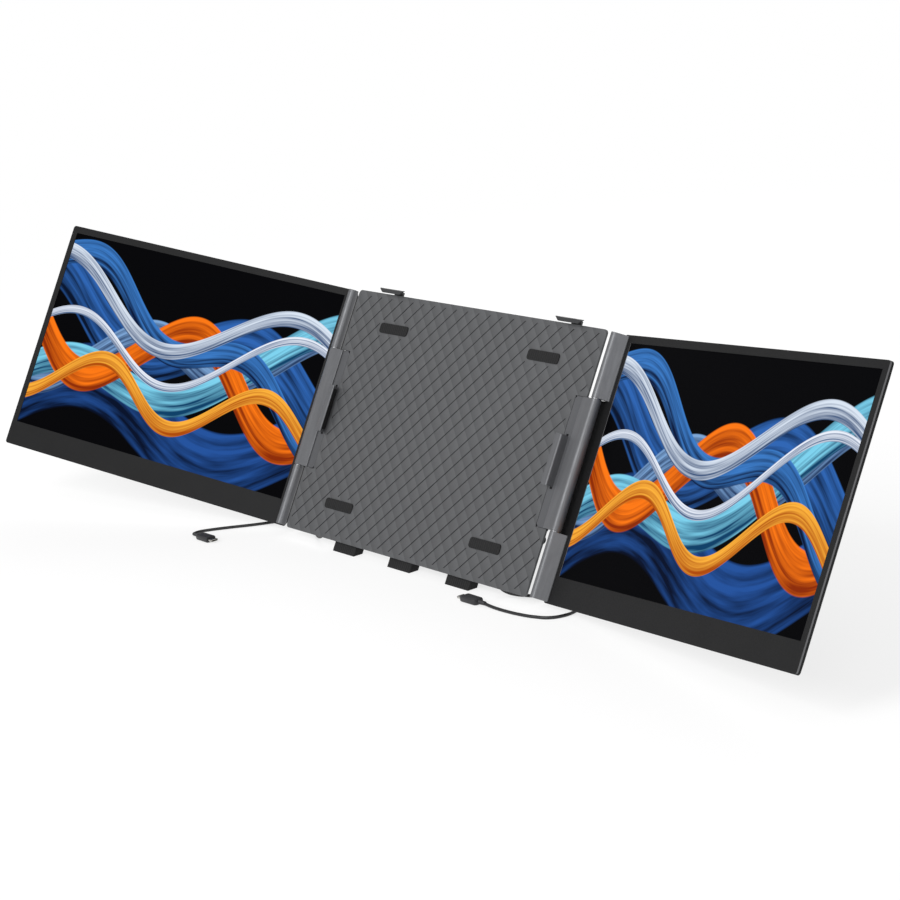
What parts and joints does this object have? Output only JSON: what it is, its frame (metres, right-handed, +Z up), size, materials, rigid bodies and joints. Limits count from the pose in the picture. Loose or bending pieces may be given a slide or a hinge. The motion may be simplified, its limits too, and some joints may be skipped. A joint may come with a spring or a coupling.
{
  "type": "laptop screen extender",
  "caption": "Pair of side monitors hinged on sliding arms of a leaning centre bracket that hooks behind a computer's lid, with a folding rear stand and two cables.",
  "frame": {"origin": "on the desk, at the middle of the centre unit's middle rubber foot", "axes": "+X to the right as seen from the front, +Y to the back, +Z up"},
  "size_m": [1.2017, 0.2289, 0.2793],
  "materials": {
    "plate_grey": "anodised, satin",
    "housing_grey": "fine matte grain",
    "hinge_grey": "bead-blasted, anodised grey",
    "steel": "turned",
    "dark_screws": "blackened",
    "rubber": "matte",
    "leg_metal": "anodised, satin",
    "board_green": "solder mask",
    "connector_metal": "plated",
    "bezel_black": "fine matte grain",
    "screen_glass": "glossy, lit picture behind",
    "panel": "thin foil",
    "cover_black": "fine matte grain",
    "cable_black": "satin"
  },
  "bodies": {
    "centre_unit": {"centre_plate": "plate_grey", "rear_housing": "housing_grey", "housing_screws": "dark_screws", "lid_pads": "rubber", "base_feet": "rubber", "guide_rods": "steel", "hub_board": "board_green", "cable_sockets": "connector_metal", "kickstand_pin": "steel", "left_cable": "cable_black", "left_hub_plug": "cable_black", "left_free_plug": "cable_black", "right_cable": "cable_black", "right_hub_plug": "cable_black", "right_free_plug": "cable_black"},
    "kickstand": {"kickstand_leg": "leg_metal", "kickstand_foot": "rubber"},
    "left_clip": {"left_top_clip": "housing_grey"},
    "right_clip": {"right_top_clip": "housing_grey"},
    "left_slider": {"left_slider": "housing_grey", "left_hinge_cover": "hinge_grey", "left_hinge_pin": "steel", "left_washers": "steel", "left_side_hook": "hinge_grey", "left_hook_pad": "rubber"},
    "right_slider": {"right_slider": "housing_grey", "right_hinge_cover": "hinge_grey", "right_hinge_pin": "steel", "right_washers": "steel", "right_side_hook": "hinge_grey", "right_hook_pad": "rubber"},
    "left_screen": {"left_bezel": "bezel_black", "left_glass": "screen_glass", "left_picture_module": "panel", "left_rear_cover": "cover_black", "left_upper_knuckle": "hinge_grey", "left_lower_knuckle": "hinge_grey", "left_knuckle_plates": "steel", "left_knuckle_screws": "dark_screws", "left_cover_screws": "dark_screws", "left_control_board": "board_green", "left_speakers": "cover_black"},
    "right_screen": {"right_bezel": "bezel_black", "right_glass": "screen_glass", "right_picture_module": "panel", "right_rear_cover": "cover_black", "right_upper_knuckle": "hinge_grey", "right_lower_knuckle": "hinge_grey", "right_knuckle_plates": "steel", "right_knuckle_screws": "dark_screws", "right_cover_screws": "dark_screws", "right_control_board": "board_green", "right_speakers": "cover_black"},
    "left_power_button": {"left_power_button": "cover_black"},
    "left_menu_button": {"left_menu_button": "cover_black"},
    "right_power_button": {"right_power_button": "cover_black"},
    "right_menu_button": {"right_menu_button": "cover_black"}
  },
  "joints": [
    {"name": "left_slide", "type": "slide", "parent": "centre_unit", "child": "left_slider", "axis": [-1, 0, 0], "range_m": [0, 0.03]},
    {"name": "right_slide", "type": "slide", "parent": "centre_unit", "child": "right_slider", "axis": [1, 0, 0], "range_m": [0, 0.03]},
    {"name": "left_swing", "type": "hinge", "parent": "left_slider", "child": "left_screen", "pos_m": [-0.2062, 0.05866, 0.11719], "axis": [0, 0.4924, 0.8704], "range_deg": [-17.1, 147.9]},
    {"name": "right_swing", "type": "hinge", "parent": "right_slider", "child": "right_screen", "pos_m": [0.2062, 0.05866, 0.11719], "axis": [0, 0.4924, 0.8704], "range_deg": [-154.2, 10.8]},
    {"name": "left_clip_slide", "type": "slide", "parent": "centre_unit", "child": "left_clip", "axis": [0, 0.4924, 0.8704], "range_m": [0, 0.018]},
    {"name": "right_clip_slide", "type": "slide", "parent": "centre_unit", "child": "right_clip", "axis": [0, 0.4924, 0.8704], "range_m": [0, 0.018]},
    {"name": "kickstand_fold", "type": "hinge", "parent": "centre_unit", "child": "kickstand", "pos_m": [0, 0.07499, 0.11254], "axis": [1, 0, 0], "range_deg": [-54.7, 0]},
    {"name": "left_power_press", "type": "slide", "parent": "left_screen", "child": "left_power_button", "axis": [0.294, -0.8319, 0.4707], "range_m": [0, 0.0006], "stiffness_N_per_m": 400, "springref_m": -0.001},
    {"name": "left_menu_press", "type": "slide", "parent": "left_screen", "child": "left_menu_button", "axis": [0.294, -0.8319, 0.4707], "range_m": [0, 0.0006], "stiffness_N_per_m": 400, "springref_m": -0.001},
    {"name": "right_power_press", "type": "slide", "parent": "right_screen", "child": "right_power_button", "axis": [-0.1874, -0.8549, 0.4837], "range_m": [0, 0.0006], "stiffness_N_per_m": 400, "springref_m": -0.001},
    {"name": "right_menu_press", "type": "slide", "parent": "right_screen", "child": "right_menu_button", "axis": [-0.1874, -0.8549, 0.4837], "range_m": [0, 0.0006], "stiffness_N_per_m": 400, "springref_m": -0.001}
  ]
}
